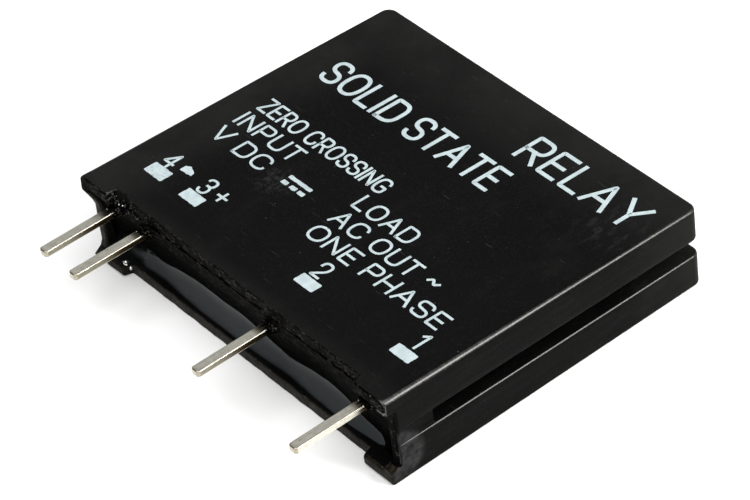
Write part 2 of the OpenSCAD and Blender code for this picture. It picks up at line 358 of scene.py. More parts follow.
def case_material(name, rough_low, rough_high, wear, grainy, ior, streaky=0.0):
    """Black moulded plastic with fine texture, dust and handling marks."""
    s = Shader(name)
    fine = s.noise(0.08, 2.0)
    smear = s.noise(2.2, 5.0, 0.65, (1.0, 2.4, 1.0))
    scratch = s.ramp(s.noise(0.11, 2.0, 0.5, (14.0, 1.0, 1.0)), 0.7, 0.76)
    dust = s.times(s.ramp(s.cells(0.5), 0.08, 0.03), s.ramp(s.noise(1.6), 0.52, 0.66))
    drawn = s.ramp(s.noise(0.1, stretch=(1.0, 30.0, 1.0)), 0.48, 0.72)
    color = s.mix(s.noise(6.0, 4.0), (0.001, 0.0011, 0.0011), (0.0022, 0.0023, 0.0021))
    # Painted sheen: lighter tone at the left and the closed end of the front
    color = s.over(color, face_sheen_and_rim_band(s), 0.5, (0.016, 0.0165, 0.0155))
    color = s.over(color, s.ramp(fine, 0.5, 0.8), 0.3, (0.02, 0.021, 0.021))
    color = s.over(color, drawn, streaky, (0.03, 0.03, 0.029))
    color = s.over(color, s.ramp(smear, 0.5, 0.8), 0.1, (0.03, 0.03, 0.029))
    color = s.over(color, scratch, 0.12, (0.1, 0.1, 0.1))
    color = s.over(color, dust, 0.35, (0.16, 0.16, 0.15))
    # Smears round the marking, and a painted reflection on the right side by the pins
    color = s.over(color, smears_and_side_reflection(s), 0.6, (0.045, 0.045, 0.046))
    color = s.over(color, s.ramp(s.noise(0.25), 0.45, 0.7), wear, (0.09, 0.085, 0.07))
    rough = s.plus(s.ramp(smear, 0.3, 0.75, rough_low, rough_high), s.times(dust, 0.3))
    texture = s.bump(fine, 0.012, grainy)
    texture = s.bump(s.noise(0.35), 0.02, 0.4 * grainy, texture)
    return s.look(Base_Color=color, Roughness=rough, Normal=texture, IOR=ior)


def face_sheen_and_rim_band(s):
    """Painted sheen at the left and the closed end of the front, and a lighter band along its rim."""
    # Painted sheen: the front lighter toward its left and its closed end
    film = s.larger(s.along("X", -7.0, -12.0), s.along("Y", 4.0, 11.0))
    rim_band = s.times(s.along("Y", RIM_Y + 1.1, RIM_Y, 0.0, 0.35), s.along("Z", 4.6, 4.8))
    return s.times(s.larger(film, rim_band), s.ramp(s.noise(3.0), 0.3, 0.6, 0.6, 1.0))


def smears_and_side_reflection(s):
    """Painted reflection in a grey patch on the right side by the pins, and smears round the marking.
    """
    # Painted reflection of the floor: a grey patch low on the right side by the pins
    rise = s.times(s.math("SUBTRACT", s.axis("Z"), 1.5 * MM), 1.05)
    back = s.math("SUBTRACT", s.axis("Y"), (FOOT_Y + 0.6) * MM)
    side_reflection = s.ramp(s.span(rise, back), 1.7 * MM, 1.25 * MM)
    side_reflection = s.times(side_reflection, s.along("X", HALF_W - 0.25, HALF_W - 0.15))
    side_reflection = s.times(side_reflection, s.ramp(s.noise(0.5), 0.25, 0.65))
    smear = s.times(s.near(-4.6, -3.4, 1.5, 0.2), s.ramp(s.noise(0.3), 0.45, 0.7))
    streaks = s.ramp(s.noise(0.35, stretch=(1.0, 2.6, 1.0)), 0.48, 0.72)
    far = s.times(s.near(10.2, 6.2, 2.6, 0.2), streaks)
    return s.larger(side_reflection, s.larger(s.times(smear, 0.6), s.times(far, 0.4)))


def chips_and_highlights(s):
    """Pale chips, partly painted highlights, at the broken place beside the left foot and at the
    right front corner.
    """
    left = s.times(s.near(CHIP_AND_HIGHLIGHT_X, FOOT_Y + 0.2, 0.55), 0.4)
    places = s.larger(left, s.near(HALF_W - 0.4, FOOT_Y + 0.1, 0.65, 0.8))
    places = s.times(places, s.along("Z", THICK - 1.0, THICK - 0.7))
    return s.times(places, s.ramp(s.noise(0.2, stretch=(2.2, 1.0, 0.7)), 0.52, 0.64))


def broken_material(name, fleck_and_glint_share, low, high, ior, streaks=0.0, lowest=0.0):
    """Rough broken surface with pale flecks in it, partly painted glints, and pale streaks along it
    above a height, which are a painted highlight.
    """
    s = Shader(name)
    # Pale flecks: partly specks, partly painted glints
    fleck_and_glint = s.times(s.ramp(s.cells(0.17), 0.36, 0.2), s.ramp(s.noise(0.4), 0.48, 0.62))
    # Painted highlight: pale streaks above the lowest height
    streak = s.ramp(s.noise(0.09, 3.0, 0.65, (3.5, 1.0, 1.0)), 0.55, 0.67, 0.0, streaks)
    streak = s.times(streak, s.along("Z", lowest, lowest + 0.25))
    color = s.mix(s.ramp(s.noise(0.25), 0.35, 0.65), low, high)
    color = s.mix(streak, color, (0.05, 0.047, 0.041))
    color = s.over(color, fleck_and_glint, fleck_and_glint_share, (0.13, 0.125, 0.11))
    # Pale chips, partly painted highlights
    color = s.mix(chips_and_highlights(s), color, (0.16, 0.16, 0.15))
    texture = s.bump(s.noise(0.12, 3.0, 0.7), 0.05, 0.8)
    return s.clouded(color, s.noise(0.5), 0.35, 0.5, IOR=ior, Normal=texture)


def case_looks():
    """Flat faces, burnished edges, broken rim with painted highlight streaks, streaked sides, and a
    lighter brownish back rim whose colour is painted light.
    """
    rim = (0.0008, 0.0008, 0.0008), (0.0025, 0.0024, 0.0021)
    back_rim = (0.003, 0.0028, 0.002), (0.02, 0.017, 0.012)
    return (
        case_material("case_black_satin", 0.36, 0.5, 0.0, 0.6, 1.14),
        case_material("case_black_edges", 0.3, 0.4, 0.25, 0.1, 1.5),
        # The front rim's pale streaks above 4.5 mm are a painted highlight
        broken_material("case_black_rim", 0.4, *rim, 1.05, 0.9, 4.5),
        case_material("case_black_sides", 0.4, 0.52, 0.0, 0.6, 1.09, 0.12),
        # Painted light: a lighter, browner copy of the rim for the back rim and the left web
        broken_material("case_black_back_rim", 0.4, *back_rim, 1.12),
    )


def resin_material():
    """Glossy black potting resin with slow waves."""
    s = Shader("potting_resin_black")
    color = s.mix(s.noise(1.5), (0.0018, 0.002, 0.0022), (0.004, 0.0042, 0.0046))
    by_back = s.times(s.along("Z", 1.7, 0.6, 0.0, 0.25), s.along("X", 8.5, 5.5))
    rough = s.plus(s.ramp(s.noise(0.8), 0.35, 0.7, 0.06, 0.12), by_back)
    s.look(IOR=1.28, Specular_Tint=(0.75, 0.92, 1.0, 1.0))
    return s.look(Base_Color=color, Roughness=rough, Normal=s.bump(s.noise(0.5, 2.0), 0.01, 0.2))


def dull_painted_shade_resin_material():
    """Painted shade: rougher resin, darker than the glossy resin, where it climbs the front wall and
    the pins; its pale streaks are a painted highlight.
    """
    low = (0.0003, 0.0003, 0.0003)
    high = (0.0012, 0.0011, 0.0009)
    return broken_material("potting_resin_dull_painted_shade", 0.1, low, high, 1.035, 0.8, 3.4)


def crumb_material():
    """Shiny black crumbs of resin that catch the light."""
    s = Shader("resin_crumb_black")
    color = s.mix(s.noise(0.1), (0.002, 0.002, 0.002), (0.02, 0.018, 0.014))
    return s.clouded(color, s.noise(0.08), 0.08, 0.2, IOR=1.5)


def tin_material():
    """Warm grey tin plating with drawn streaks, stained where it enters the resin."""
    s = Shader("tin_plating")
    streak = s.noise(0.05, stretch=(1.0, 30.0, 1.0))
    cloud = s.noise(0.35, 4.0)
    grit = s.noise(0.09, 3.0, 0.75)
    stain_edge = s.plus(s.axis("Y"), s.times(cloud, 0.4 * MM))
    stain = s.ramp(stain_edge, (FOOT_Y - 0.35) * MM, (FOOT_Y + 0.15) * MM)
    color = s.mix(cloud, (0.48, 0.465, 0.4), (0.8, 0.775, 0.67))
    color = s.over(color, s.ramp(streak, 0.45, 0.7), 0.35, (0.25, 0.235, 0.2))
    color = s.over(color, stain, 0.9, (0.075, 0.055, 0.03))
    color = s.over(color, s.along("Y", TIP_Y + 0.2, TIP_Y + 0.05), 0.5, (0.3, 0.24, 0.17))
    color = s.over(color, s.ramp(grit, 0.56, 0.7), 0.65, (0.17, 0.155, 0.12))
    texture = s.bump(grit, 0.006, 0.6, s.bump(cloud, 0.02, 0.35))
    return s.clouded(color, cloud, 0.26, 0.4, Metallic=1.0, Normal=texture)


def tin_side_painted_shade_material():
    """Painted shade: sides of the pins, darker than the tin and browner toward the resin, partly
    tarnish and partly a painted dark reflection.
    """
    s = Shader("tin_plating_sides_painted_shade")
    cloud = s.noise(0.3, 4.0)
    color = s.mix(cloud, (0.24, 0.225, 0.165), (0.42, 0.395, 0.3))
    # Browner and darker toward the resin: partly tarnish, partly painted dark reflection
    tarnish_and_reflection_edge = s.plus(s.axis("Y"), s.times(cloud, 0.6 * MM))
    tarnish_and_reflection = s.ramp(tarnish_and_reflection_edge, (FOOT_Y - 2.6) * MM, (FOOT_Y - 0.7) * MM)
    color = s.mix(tarnish_and_reflection, color, (0.09, 0.06, 0.025))
    texture = s.bump(s.noise(0.09, 3.0, 0.7), 0.006, 0.5)
    return s.clouded(color, cloud, 0.26, 0.4, Metallic=1.0, Normal=texture)


def tin_edge_material():
    """Bright rounded edges of the tinned pins."""
    s = Shader("tin_plating_edges")
    cloud = s.noise(0.3)
    color = s.mix(cloud, (0.6, 0.56, 0.46), (0.85, 0.81, 0.68))
    stain = s.times(s.along("Y", FOOT_Y - 0.1, FOOT_Y + 0.2), 0.8)
    tip = s.times(s.along("Y", TIP_Y + 0.25, TIP_Y + 0.1), 0.6)
    color = s.mix(s.larger(stain, tip), color, (0.09, 0.07, 0.04))
    texture = s.bump(s.noise(0.1), 0.006, 0.4)
    return s.clouded(color, cloud, 0.16, 0.26, Metallic=1.0, Normal=texture)


def bright_solder_material():
    """Clean bright solder, barely clouded."""
    s = Shader("solder_bright")
    color = s.mix(s.noise(0.05), (0.75, 0.75, 0.74), (0.95, 0.95, 0.94))
    return s.clouded(color, s.noise(0.08), 0.2, 0.35, Metallic=1.0)


def ink_material():
    """Pale printing ink with pinholes and a few worn places."""
    s = Shader("marking_ink")
    fine = s.noise(0.07, 3.0, 0.7)
    pit = s.ramp(s.noise(0.13, 3.0, 0.7), 0.72, 0.78)
    worn = s.near(-9.5, -7.1, 1.0)
    for x, y, radius in ((-3.5, -3.0, 1.3), (-5.6, -2.9, 0.6)):
        worn = s.larger(worn, s.near(x, y, radius))
    scuff = s.ramp(s.noise(0.09, 4.0, 0.75, (2.2, 1.0, 1.0)), 0.56, 0.66)
    lost = s.larger(s.times(scuff, worn), s.times(pit, 0.45))
    cloud = s.ramp(s.noise(0.5), 0.35, 0.65)
    color = s.mix(cloud, (0.29, 0.35, 0.37), (0.37, 0.44, 0.455))
    color = s.over(color, fine, 0.4, (0.42, 0.5, 0.52))
    color = s.over(color, lost, 0.8, (0.03, 0.035, 0.04))
    return s.look(Base_Color=color, Roughness=0.55, Normal=s.bump(fine, 0.006, 0.5))


def plain(name, low, high, size_mm, rough, metallic=0.0, depth_mm=0.004):
    """Two close colours clouded together, with a light texture."""
    s = Shader(name)
    cloud = s.noise(size_mm, 4.0)
    color = s.mix(cloud, low, high)
    texture = s.bump(s.noise(size_mm * 0.2), depth_mm, 0.5)
    return s.clouded(color, cloud, rough, rough + 0.12, Metallic=metallic, Normal=texture)


def board_material():
    """Green glass-epoxy board with a woven texture."""
    s = Shader("glass_epoxy_board")
    weave = s.node("TexChecker", {"Vector": s.place, "Scale": 1.0 / (0.35 * MM)})["Fac"]
    color = s.mix(s.noise(2.0), (0.02, 0.12, 0.05), (0.04, 0.2, 0.08))
    color = s.over(color, weave, 0.15, (0.1, 0.3, 0.14))
    return s.look(Base_Color=color, Roughness=0.4, Normal=s.bump(weave, 0.004, 0.3))


def floor_material():
    """Matt pale floor, faintly clouded."""
    s = Shader("pale_floor")
    color = s.mix(s.noise(9.0), (0.9, 0.9, 0.895), (0.93, 0.93, 0.925))
    return s.look(Base_Color=color, Roughness=0.75)


# ---- Case ----
# The wall is a profile swept round the outline, from the left end of the pin side,
# up the left, across the closed end and down the right.


def outline_stations():
    """Stations along the outline: ("side", sign, y), ("arc", sign, angle) or ("top", 0, x)."""
    up = [COLLAR_Y]
    up += steps(SHALLOW_Y - 0.06, SHALLOW_Y + 0.1, 0.02)
    up += steps(SHALLOW_Y + 0.25, DEEP_Y - 0.1, 0.25)
    up += [DEEP_Y - 0.05, DEEP_Y - 0.02, DEEP_Y + 0.02, DEEP_Y + 0.05, DEEP_Y + 0.1]
    up += steps(DEEP_Y + 0.4, END_Y - CORNER_R, 0.5)
    lean = math.atan(SIDE_DRAFT / DEPTH_Y)
    turn = steps(lean, math.pi / 2, math.radians(7))
    top_x = side_x(END_Y) - CORNER_R
    left = [("side", -1, y) for y in up] + [("arc", -1, a) for a in turn[1:]]
    across = [("top", 0, x) for x in steps(-top_x, top_x, 0.5)[1:-1]]
    right = [("arc", 1, a) for a in reversed(turn[1:])] + [("side", 1, y) for y in reversed(up)]
    return left + across + right


def outline_point(station, inset):
    """Place on the outline set in by a distance."""
    kind, sign, value = station
    top_y = END_Y - inset
    corner_x = side_x(top_y) - inset
    if kind == "side":
        y = min(value, top_y)
        return sign * (side_x(y) - inset), y
    if kind == "top":
        return clamp(value, -corner_x, corner_x), top_y
    if inset >= CORNER_R:
        return sign * corner_x, top_y
    radius = CORNER_R - inset
    centre_x = side_x(END_Y - CORNER_R) - CORNER_R
    return sign * (centre_x + radius * math.cos(value)), END_Y - CORNER_R + radius * math.sin(value)


def groove_depth(station):
    kind, _, y = station
    if kind != "side" or y > DEEP_Y:
        return GROOVE_DEEP
    run_in = smooth_step(y, SHALLOW_Y - 0.03, SHALLOW_Y + 0.05)
    fade = blend(0.35, 1.0, smooth_step(y, SHALLOW_Y, DEEP_Y))
    return FLUSH + GROOVE_SHALLOW * run_in * fade


def arc_pairs(along, down, count):
    """Steps of a quarter round: how far along and how far down."""
    angles = [math.pi / 2 * i / count for i in range(count + 1)]
    return [(along * (1 - math.sin(a)), down * (1 - math.cos(a))) for a in angles]


def wall_profile(depth, y=FOOT_Y):
    """Profile points from front to back: (inset, measured from, amount)."""
    # The front edge is rounder at the pin side than at the closed end.
    soft = blend(1.0, FAR_EDGE_SHARE, smooth_step(y, FOOT_Y, END_Y - 4.0))
    lip = min(LIP_R, depth * 0.5)
    floor_r = min(GROOVE_FLOOR_R, depth * 0.3)
    # Heights round where the feet end, and round where the inner rib starts
    foot = [FOOT_T + gap for gap in (-0.16, -0.08, -0.03, 0.03, 0.08, 0.16)]
    rib = [GROOVE_HALF + RIB_T + gap for gap in (0.01, -0.01)]
    front_edge = arc_pairs(FRONT_EDGE_IN * soft, FRONT_EDGE_DOWN * soft, 7)
    points = [(FACE_INSET, "front", 0.0)]
    points += [(i, "front", d) for i, d in front_edge]
    points += [(0.0, "front", z) for z in foot]
    points += [(0.0, "mid", z) for z in rib]
    half = GROOVE_HALF
    points += [(d, "mid", half + i) for i, d in arc_pairs(lip, lip, 4)]
    points += [(depth - floor_r, "mid", half), (depth, "mid", half - floor_r)]
    points += [(depth, "mid", floor_r - half), (depth - floor_r, "mid", -half)]
    points += [(d, "mid", -half - i) for i, d in reversed(arc_pairs(lip, lip, 4))]
    points += [(0.0, "mid", -z) for z in reversed(rib)]
    points += [(0.0, "back", z) for z in reversed([THIN_FOOT_T] + foot)]
    points += [(i, "back", d) for i, d in reversed(arc_pairs(BACK_EDGE_R, BACK_EDGE_R, 5))]
    points += [(FACE_INSET, "back", 0.0)]
    return points


def height_at(y, base, amount):
    if base == "front":
        return front_z(y) - amount
    if base == "mid":
        return front_z(y) / 2 + amount
    return amount


def mouth_samples():
    """Places across the front and back edges of the mouth, close together at the feet."""
    inner = HALF_W - FOOT_W
    line_end = side_x(COLLAR_Y) - FACE_INSET
    near_foot = steps(inner - 0.2, inner + 0.2, 0.025)
    outer = steps(inner + 0.2, line_end, 0.12)[1:]
    middle = steps(-(inner - 0.2), inner - 0.2, 0.1)
    right = near_foot[1:] + outer
    return [-x for x in reversed(right)] + middle + right


def foot_share(x, z):
    """One on a corner foot, nothing along the recessed rim."""
    down = front_z(COLLAR_Y) - z
    at_front = down < z
    width = LONG_FOOT_W if x < 0 and not at_front else FOOT_W
    along = smooth_step(abs(x), HALF_W - width - FOOT_EASE, HALF_W - width + FOOT_EASE)
    # The left feet taper: the front one into a web down the wall, the back one thin.
    if x < 0 and at_front:
        across = 1.0 - clamp((down - FOOT_T) / (WEB_END - FOOT_T), 0.0, 1.0)
    elif x < 0:
        across = 1.0 - clamp(z / THIN_FOOT_T - 0.15, 0.0, 1.0)
    else:
        across = 1.0 - smooth_step(min(z, down), FOOT_T - FOOT_EASE, FOOT_T + FOOT_EASE)
    return along * across


def mouth_ring():
    """Points of the closed ring round the mouth, front to back on the right first."""
    right = [("wall", 1, p) for p in wall_profile(FLUSH)]
    left = [("wall", -1, p) for p in reversed(wall_profile(FLUSH))]
    line = mouth_samples()[1:-1]
    back = [("line", "back", x) for x in reversed(line)]
    front = [("line", "front", x) for x in line]
    return right + back + left + front


def notch_depth(entry):
    """Depth of the broken place in the front rim beside the left foot."""
    kind, key, x = entry
    if kind != "line" or key != "front":
        return 0.0
    ragged = 1.0 + 0.5 * grain(x, 0.0, 7.0, 0.15)
    return NOTCH_DEEP * math.exp(-(((x - NOTCH_X) / NOTCH_W) ** 2)) * ragged


def mouth_point(entry, inset, y):
    """Place of a ring point when the ring is set in by a distance."""
    kind, key, value = entry
    top = front_z(y)
    if kind == "line":
        return value, (top - inset if key == "front" else inset)
    own_inset, base, amount = value
    reach, down = {
        "front": (FRONT_EDGE_IN, FRONT_EDGE_DOWN),
        "mid": (0.0, 0.0),
        "back": (BACK_EDGE_R, BACK_EDGE_R),
    }[base]
    x = side_x(y) - max(own_inset, inset)
    z = clamp(height_at(y, base, amount), inset, top - inset)
    if own_inset < reach and amount < down and inset < down:
        x = side_x(y) - reach + (reach - own_inset) * (reach - inset) / reach
        drop = down - (down - amount) * (down - inset) / down
        z = top - drop if base == "front" else drop
    return key * x, z


def rim_noise(x, z):
    """Unevenness of the cut edge of the mouth."""
    broken = 1.0 + smooth_step(z, 3.5, 4.6)
    return broken * (0.03 * grain(x, z, 3.1, 0.8) + 0.014 * grain(x, z, 9.2, 0.28))


def mouth_rows():
    """Rings from the outside of the case, over the rim and down to the bottom of the cavity."""
    ring = mouth_ring()
    outside = [mouth_point(entry, 0.0, COLLAR_Y) for entry in ring]
    edges = []
    fillets = []
    for entry, (x, z) in zip(ring, outside):
        share = foot_share(x, z)
        cut = rim_noise(x, z) * blend(1.0, 0.5, share) + notch_depth(entry) * (1.0 - share)
        edges.append(blend(RIM_Y, FOOT_Y, share) + cut)
        on_side = entry[0] == "wall" and 0.5 < z < front_z(COLLAR_Y) - 0.5
        plain = SIDE_RIM_FILLET if on_side else RIM_FILLET
        fillets.append(blend(plain, FOOT_FILLET, share))
    rows = [[(x, COLLAR_Y, z) for x, z in outside]]

    def row(share, inset_part, rise_part):
        """Ring part of the way from the outer to the inner fillet, plus parts of a fillet."""
        points = []
        for entry, edge, fillet, (ox, oz) in zip(ring, edges, fillets, outside):
            y = edge + fillet * rise_part
            inset = blend(fillet, WALL - fillet, share) + fillet * inset_part
            rough = 0.012 * grain(ox, oz, 5.5 + share, 0.12) if 0 < share < 1 else 0.0
            x, z = mouth_point(entry, inset, y + rough)
            points.append((x, y + rough, z))
        return points

    turn = steps(0.0, math.pi / 2, math.pi / 8)
    rows += [row(0.0, -math.cos(a), 1 - math.sin(a)) for a in turn]
    rows += [row(share, 0.0, 0.0) for share in (0.25, 0.5, 0.75)]
    rows += [row(1.0, math.sin(a), 1 - math.cos(a)) for a in turn]
    rib_start = DEEP_Y - RIB_T
    floor_y = END_Y - GROOVE_DEEP - RIB_T - 0.05
    # Rings inside the cavity, where the rib stands out beyond its start
    for y in (RESIN_Y + 0.4, rib_start, rib_start + 0.01, floor_y):
        points = []
        for entry in ring:
            kind, _, value = entry
            in_rib = kind == "wall" and value[1] == "mid" and abs(value[2]) < GROOVE_HALF + RIB_T
            inset = GROOVE_DEEP + RIB_T if in_rib and y > rib_start else WALL
            x, z = mouth_point(entry, inset, y)
            if in_rib:
                z = height_at(y, "mid", value[2])
            points.append((x, y, z))
        rows.append(points)
    return rows


# Numbers of the case's materials, and the height above which a place is at its front.
FACE, EDGE, RIM, SIDE, BACK_RIM = range(5)
FRONT_HALF_Z = 4.0


def foot_is_burnished(centre, normal):
    """Whether a place is on the rubbed edges of the right front foot."""
    if centre.z < FRONT_HALF_Z or centre.x < 0:
        return False
    at_end = centre.y < FOOT_Y + 0.25
    return normal.x + normal.z > 0.9 and normal.z < 0.95 and (at_end or normal.z > 0.42)


def case_finish(centre, normal):
    """Number of the material for a part of the case."""
    if centre.y < COLLAR_Y - 0.02:
        if foot_is_burnished(centre, normal):
            return EDGE
        if centre.z > FRONT_HALF_Z and normal.z > 0.97:
            return FACE
        if normal.x > 0.97 and centre.x > HALF_W - 0.1:
            return SIDE
        # The left web and the back rim take the lighter back-rim material, which paints light on them
        on_left_web = centre.x < WALL - HALF_W and centre.z < THICK - FOOT_T
        return BACK_RIM if centre.z < FOOT_T or on_left_web else RIM
    if abs(centre.z - front_z(centre.y) / 2) < GROOVE_HALF:
        return SIDE
    if 0.42 < abs(normal.z) < 0.95:
        return EDGE
    return SIDE if abs(normal.z) < 0.5 else FACE


def make_case():
    points = []
    sweep = []
    for station in outline_stations():
        row = []
        station_y = station[2] if station[0] == "side" else END_Y
        for inset, base, amount in wall_profile(groove_depth(station), station_y):
            x, y = outline_point(station, inset)
            row.append((x, y, height_at(y, base, amount)))
        sweep.append(add_row(points, row))
    faces = strip_faces(sweep)
    rings = [add_row(points, row) for row in mouth_rows()]
    faces += strip_faces(rings, closed=True)
    faces.append(tuple(rings[-1]))
    # The flat front and back close the sweep along the mouth.
    line = mouth_samples()[1:-1]
    front_line = add_row(points, [(x, COLLAR_Y, front_z(COLLAR_Y)) for x in reversed(line)])
    back_line = add_row(points, [(x, COLLAR_Y, 0.0) for x in reversed(line)])
    faces.append(tuple([row[0] for row in sweep] + front_line))
    faces.append(tuple([row[-1] for row in sweep] + back_line))
    looks = case_looks()
    piece = mesh_piece("case_moulding", points, faces, looks, case_finish, 0.0006)
    keep_flats_flat(piece)
    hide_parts("case_shell")


# ---- Potting surface ----


def pin_section(node):
    """Middle and half sizes of a pin where it leaves the resin, in X and Z."""
    low, high = (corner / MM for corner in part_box(node))
    points = [vertex.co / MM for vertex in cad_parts[node].data.vertices]
    outside = [point.x for point in points if point.y < FOOT_Y - 1]
    left = min(outside)
    right = max(outside)
    return (left + right) / 2, (low.z + high.z) / 2, (right - left) / 2, (high.z - low.z) / 2


def ramp_area(distance, width):
    """Area under a slope that grows from nothing to one over the width."""
    if distance <= 0:
        return 0.0
    if distance < width:
        return distance * distance / (2 * width)
    return distance - width / 2


def front_climb(distance):
    """Shape of the climb to the front rim: a bend, then a slow lean."""
    return ramp_area(distance, BEND_W) + LEAN * ramp_area(distance, LEAN_W)


def resin_turns(x, pins):
    """Heights below which the resin climbs to the back wall, and above which to the front."""
    end = side_x(RESIN_Y) - WALL
    near_pin = max(math.exp(-(((x - px) / 1.8) ** 2)) for px, _, _, _ in pins)
    low = 2.12 - 0.4 * near_pin - math.exp(-(end + x) / 0.6) + 0.1 * grain(x, 0.0, 3.3, 2.3)
    return low, low - 0.5 * smooth_step(x, 6.0, 9.0) - 0.9 * smooth_step(x, 10.0, 11.2)


def pin_gap(x, z, pin):
    """Distance from a place to the nearest side of a pin."""
    px, pz, half_w, half_t = pin
    return math.hypot(max(abs(x - px) - half_w, 0.0), max(abs(z - pz) - half_t, 0.0))


def resin_rise(x, z, pins):
    """How far the resin climbs towards the mouth at a place."""
    end = side_x(RESIN_Y) - WALL
    low, turn = resin_turns(x, pins)
    top = front_z(RESIN_Y) - WALL
    to_rim = RESIN_Y - RIM_Y + 0.04
    # The climb to the front starts at the turn and reaches the rim at the wall.
    rise = to_rim * front_climb(z - turn) / front_climb(top - turn)
    rise += BACK_CLIMB * ramp_area(low - z, BACK_CLIMB_W)
    rise += 0.06 * math.exp(-(end + x) / 0.3)
    for pin in pins:
        gap = pin_gap(x, z, pin)
        rise += (0.55 + 0.5 * grain(x, z, 2.4, 0.12)) * math.exp(-((gap / 0.1) ** 1.3))
    return rise + 0.006 * grain(x, z, 1.7, 1.3)


def make_resin_surface(materials):
    """Resin in the mouth: the second material, a darker copy that paints shade, is for where it
    climbs the front and the pins.
    """
    pins = [pin_section(node) for node in PIN_NODES]
    limit = side_x(RESIN_Y) - WALL + 0.01
    xs = steps(-limit, limit, 0.05)
    zs = steps(WALL - 0.01, front_z(RESIN_Y) - WALL + 0.01, 0.045)
    points = []
    rows = []
    for z in zs:
        row = [(x, RESIN_Y - 0.01 - resin_rise(x, z, pins), z) for x in xs]
        rows.append(add_row(points, row))
    faces = strip_faces(rows)
    edge = rows[0] + [row[-1] for row in rows[1:-1]] + rows[-1][::-1]
    edge += [row[0] for row in reversed(rows[1:-1])]
    base = add_row(points, [(points[i][0], RESIN_Y + SKIN_T, points[i][2]) for i in edge])
    faces += strip_faces([edge, base], closed=True)
    faces.append(tuple(base))

    def finish(centre, _):
        by_pin = any(pin_gap(centre.x, centre.z, pin) < 0.2 for pin in pins)
        return int(by_pin or centre.z > resin_turns(centre.x, pins)[1] + 0.12)

    mesh_piece("potting_meniscus", points, faces, materials, finish, sharp_degrees=60)


def crumb(place, size, seed):
    """Small irregular lump: its points and faces."""
    work = bmesh.new()
    bmesh.ops.create_icosphere(work, subdivisions=2, radius=1.0)
    points = []
    for vertex in work.verts:
        way = vertex.co.normalized()
        swell = 1 + 0.35 * grain(way.x, way.y + seed, way.z, 0.8)
        points.append(Vector(place) + way * size * swell)
    faces = [tuple(vertex.index for vertex in face.verts) for face in work.faces]
    work.free()
    return points, faces


def lumps(name, places, material, sharp_degrees):
    """One piece made of small lumps: places are (x, y, z, radius)."""
    points = []
    faces = []
    for number, (*place, size) in enumerate(places):
        join(points, faces, crumb(place, size, number * 1.7))
    mesh_piece(name, points, faces, [material], sharp_degrees=sharp_degrees)


def make_crumbs(material):
    """Crumbs of hardened resin left round the mouth."""
    pick = random.Random(11)
    top = front_z(RIM_Y)
    left = FOOT_W - HALF_W
    places = []
    for _ in range(70):
        x = pick.uniform(left, -left)
        y = RIM_Y + pick.uniform(-0.03, 0.03)
        places.append((x, y, top - pick.uniform(0.2, 0.75), pick.uniform(0.018, 0.045)))
    for _ in range(34):
        x = pick.gauss(left + 0.5, 0.9)
        y = RIM_Y + pick.uniform(-0.25, 0.0)
        places.append((x, y, top - pick.uniform(0.1, 0.9), pick.uniform(0.03, 0.07)))
    for _ in range(14):
        x = pick.uniform(-left + 0.1, HALF_W - 0.25)
        y = FOOT_Y + pick.uniform(0.03, 0.1)
        places.append((x, y, top - pick.uniform(0.12, 0.5), pick.uniform(0.02, 0.045)))
    for node in PIN_NODES:
        px, pz, half_w, _ = pin_section(node)
        for _ in range(5):
            x = px + half_w + pick.uniform(-0.05, 0.3)
            y = RIM_Y - pick.uniform(0.05, 0.25)
            places.append((x, y, pz + pick.uniform(-0.1, 0.45), pick.uniform(0.025, 0.06)))
    lumps("resin_crumbs", places, material, 12)


def make_specks(material):
    """Beads of solder stuck at the left back foot and round the pins."""
    beads = [
        (-9.74, RIM_Y - 0.19, WALL + 0.03, 0.16), (-9.55, RIM_Y - 0.07, 0.4, 0.12),
        (-9.56, RIM_Y - 0.06, 4.66, 0.05), (-9.3, RIM_Y - 0.02, 4.7, 0.045),
    ]
    for node in PIN_NODES:
        px, pz, half_w, half_t = pin_section(node)
        beads.append((px + half_w * 0.9, FOOT_Y + 0.02, pz + half_t, 0.05))
        beads.append((px - half_w * 0.6, FOOT_Y + 0.1, pz + half_t, 0.04))
    lumps("solder_specks", beads, material, 80)


# ---- Marking ----


def print_on_front(name, points, faces, material):
    """Lays flat shapes, in millimetres, on the sloping front as a film of ink."""
    name = "marking_" + name
    mesh = bpy.data.meshes.new(name)
    film = [Vector((x, y, front_z(y) + level * INK_T)) * MM for x, y, level in points]
    mesh.from_pydata(film, [], faces)
    mesh.materials.append(material)
    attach(add_object(name, mesh), "root")


